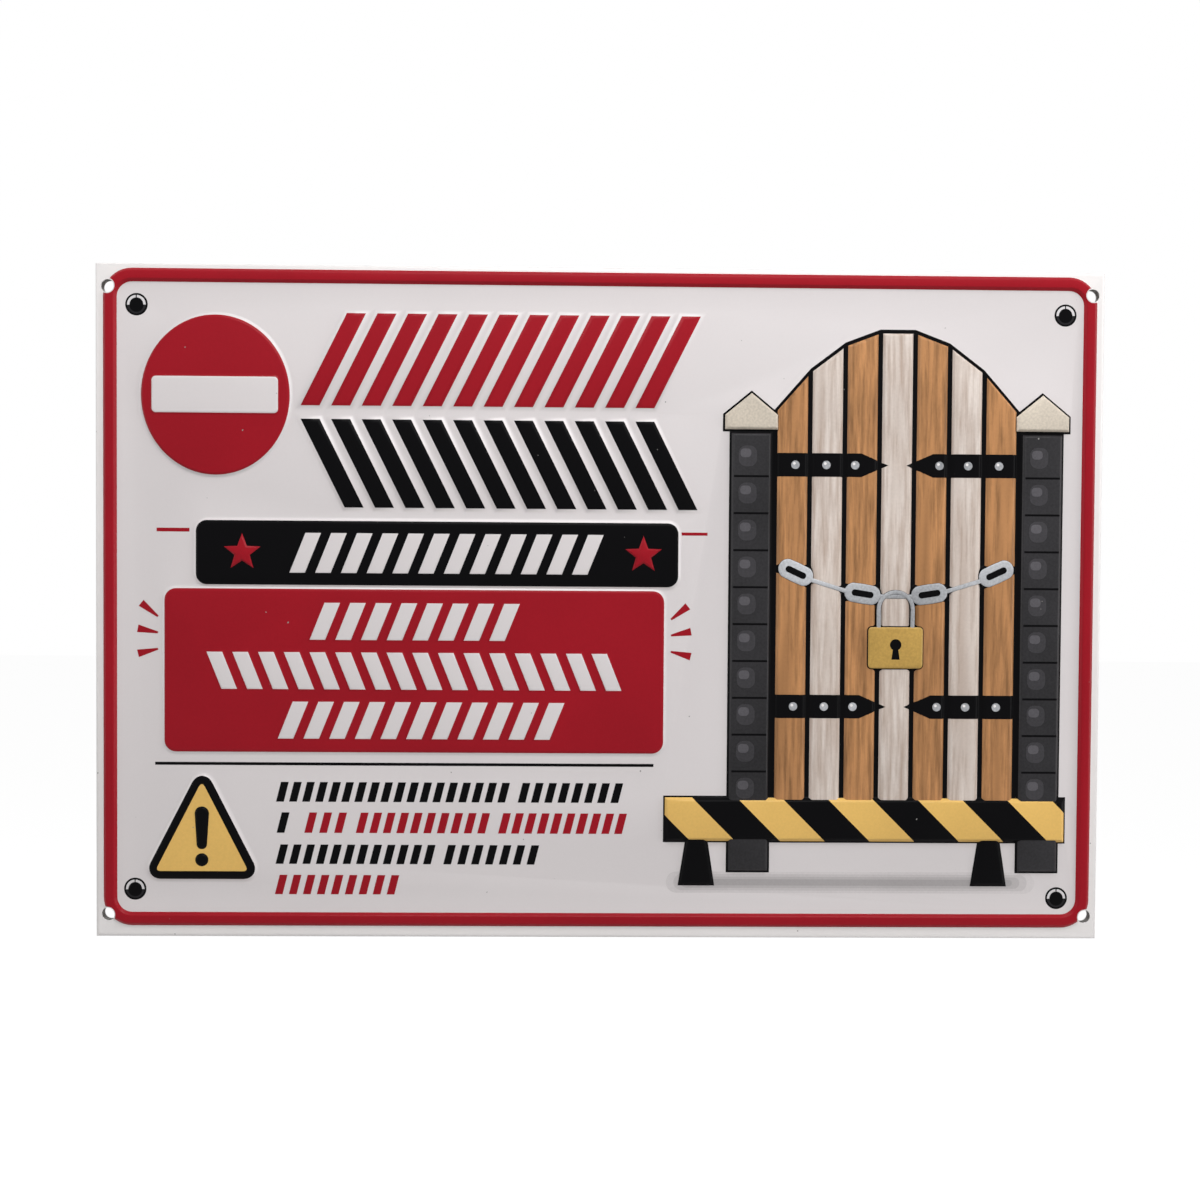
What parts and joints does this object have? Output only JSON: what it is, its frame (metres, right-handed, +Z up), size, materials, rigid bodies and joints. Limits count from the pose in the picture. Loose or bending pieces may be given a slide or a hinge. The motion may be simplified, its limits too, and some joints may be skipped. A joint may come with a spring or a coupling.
{
  "type": "no entry sign",
  "caption": "Embossed tinplate no entry sign with a rolled edge, corner fixing holes, a barred disc, striped rows and a relief of a locked gate.",
  "frame": {"origin": "centre of the four fixing holes, on the plane of the wall that the folded back edge lies on", "axes": "+X to the right of someone who reads the sign, +Z up, -Y out of the front towards that reader"},
  "size_m": [0.3, 0.0042, 0.2],
  "materials": {
    "lacquered_tinplate": "gloss lacquer over a printed white base coat"
  },
  "bodies": {
    "root": {"sign_plate": "lacquered_tinplate"}
  },
  "joints": []
}
